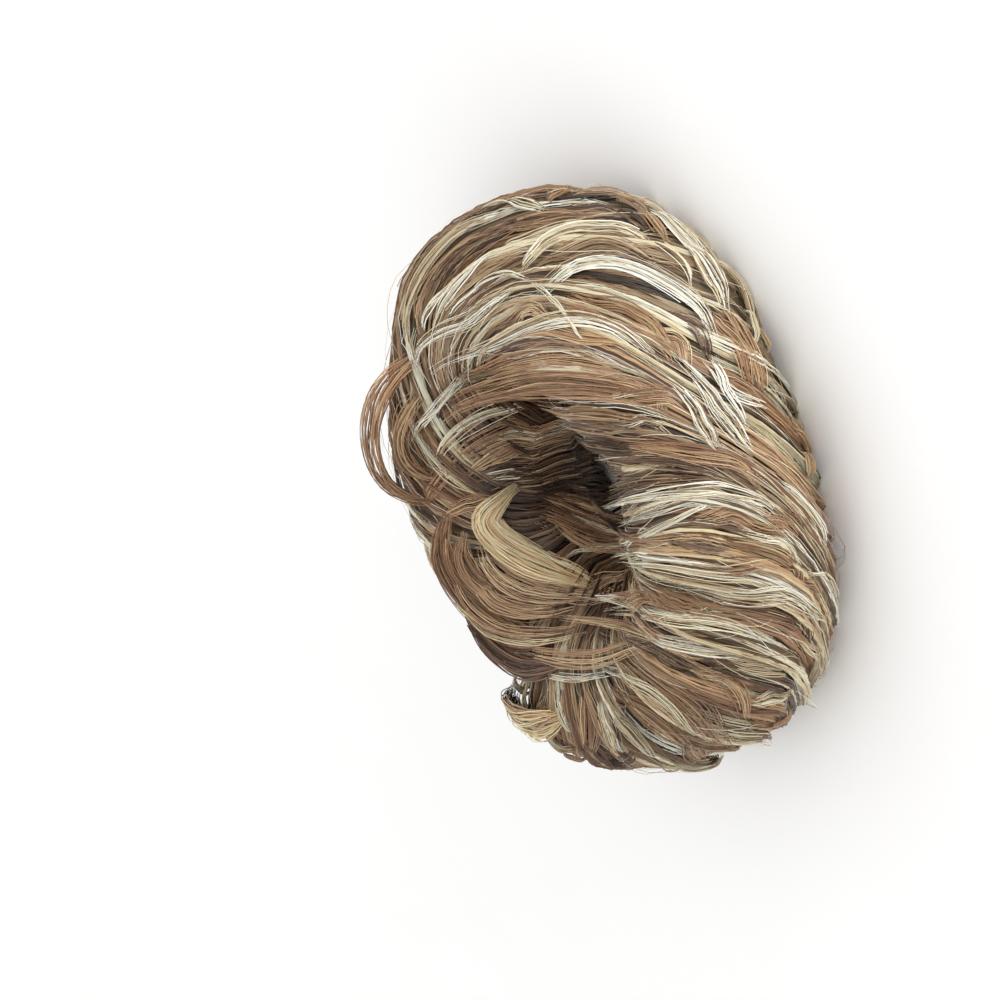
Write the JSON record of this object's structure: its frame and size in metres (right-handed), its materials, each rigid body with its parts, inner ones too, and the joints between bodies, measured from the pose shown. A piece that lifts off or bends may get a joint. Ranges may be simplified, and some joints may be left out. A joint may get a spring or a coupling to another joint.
{
  "type": "top knot hairpiece",
  "caption": "Ring of wound synthetic hair on an elastic loop, with loose curls on its upper face; worn round a ponytail or bun, and open through its middle.",
  "frame": {"origin": "centre of the bounding box's underside, on the surface that the ring lies on", "axes": "+Z along the ring's axis, towards the face with the loose curls; -Y towards the side that the picture shows nearest; +X towards the top of the picture"},
  "size_m": [0.1432, 0.1418, 0.0549],
  "materials": {
    "hair_mixed": "silky, brown with ash blond and cream streaks",
    "hair_brown": "silky",
    "hair_blond": "silky",
    "elastic": "matt, woven"
  },
  "bodies": {
    "root": {"hair_roll": "hair_mixed", "elastic_band": "elastic", "curl_blond": "hair_blond", "curl_brown_inner": "hair_brown", "curl_brown_outer": "hair_brown", "curl_dark_lower": "hair_brown", "curl_golden_tail": "hair_blond", "curl_side_loop": "hair_brown", "curl_side_wisp": "hair_brown"}
  },
  "joints": []
}
